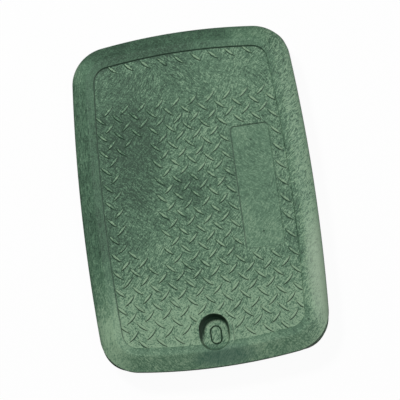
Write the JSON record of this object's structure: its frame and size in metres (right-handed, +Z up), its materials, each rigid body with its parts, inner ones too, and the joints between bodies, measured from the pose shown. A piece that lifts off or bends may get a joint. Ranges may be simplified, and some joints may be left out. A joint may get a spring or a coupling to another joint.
{
  "type": "valve box cover",
  "caption": "Bowed rectangular plastic cover for an in-ground irrigation valve box, with a treaded top, a bevelled border, a bolt pocket and a ribbed underside.",
  "frame": {"origin": "centre of the outline, on the plane that the skirt stands on", "axes": "+Z up through the treaded face, +Y along the cover away from the bolt pocket, +X across it towards the label pad"},
  "size_m": [0.293, 0.432, 0.0447],
  "materials": {
    "cover": "foam-moulded green polyethylene with light and dark flow streaks"
  },
  "bodies": {
    "root": {"cover": "cover"}
  },
  "joints": []
}
